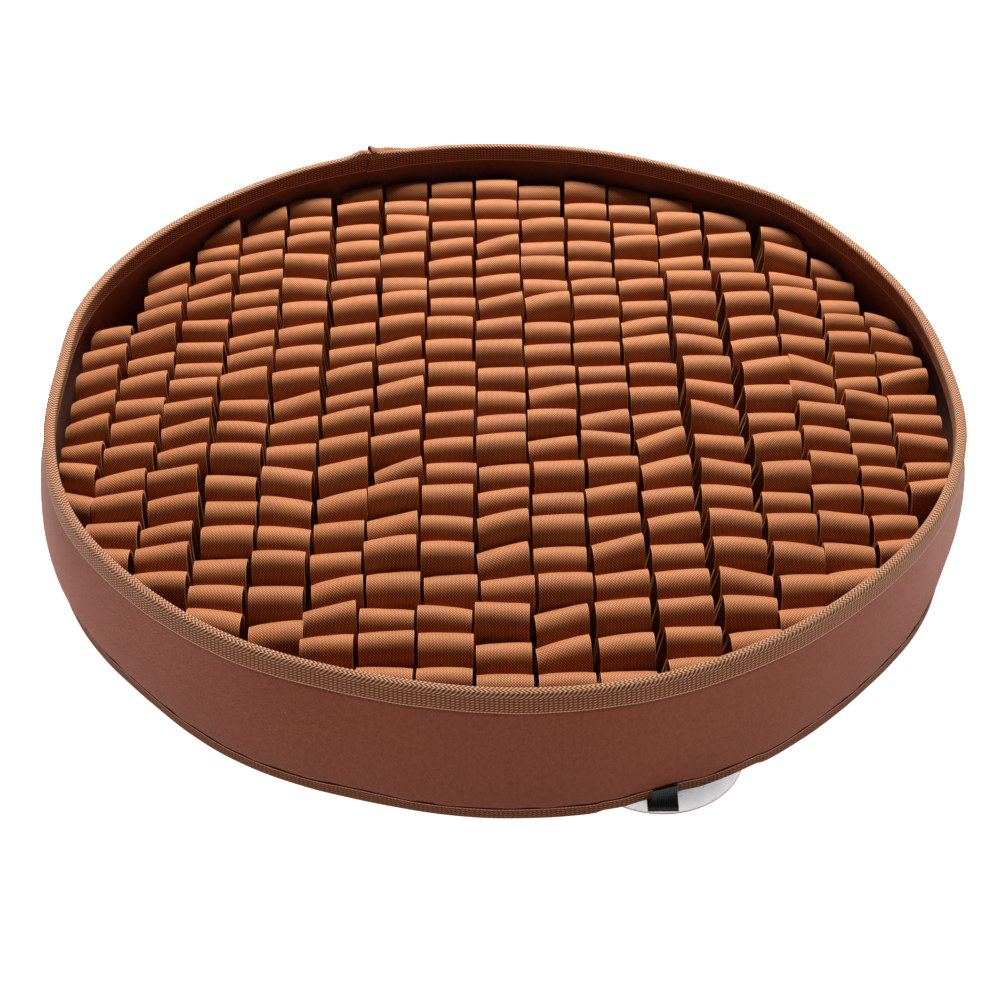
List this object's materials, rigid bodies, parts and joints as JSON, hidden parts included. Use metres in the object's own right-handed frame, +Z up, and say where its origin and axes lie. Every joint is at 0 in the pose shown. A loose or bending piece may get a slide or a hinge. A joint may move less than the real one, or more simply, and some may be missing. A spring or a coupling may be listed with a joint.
{
  "type": "snuffle mat",
  "caption": "Round snuffle mat: a low cloth tray filled with rows of standing webbing loops, bound at rim and base, with a clear suction cup on a tab.",
  "frame": {"origin": "on the floor, in the middle of the bounding box's underside", "axes": "+X to the right as seen from the front, +Y from the front, where the suction cup lies, to the back, +Z up"},
  "size_m": [0.441, 0.445, 0.0699],
  "materials": {
    "oxford_cloth": "matte",
    "binding_tape": "matte",
    "webbing": "matte",
    "clear_vinyl": "gloss",
    "black_webbing": "matte"
  },
  "bodies": {
    "root": {"wall": "oxford_cloth", "base_panel": "oxford_cloth", "rim_binding": "binding_tape", "bottom_binding": "binding_tape", "webbing_strip_01": "webbing", "webbing_strip_02": "webbing", "webbing_strip_03": "webbing", "webbing_strip_04": "webbing", "webbing_strip_05": "webbing", "webbing_strip_06": "webbing", "webbing_strip_07": "webbing", "webbing_strip_08": "webbing", "webbing_strip_09": "webbing", "webbing_strip_10": "webbing", "webbing_strip_11": "webbing", "webbing_strip_12": "webbing", "webbing_strip_13": "webbing", "webbing_strip_14": "webbing", "webbing_strip_15": "webbing", "webbing_strip_16": "webbing", "webbing_strip_17": "webbing", "suction_cup": "clear_vinyl", "cup_tab": "black_webbing"}
  },
  "joints": []
}
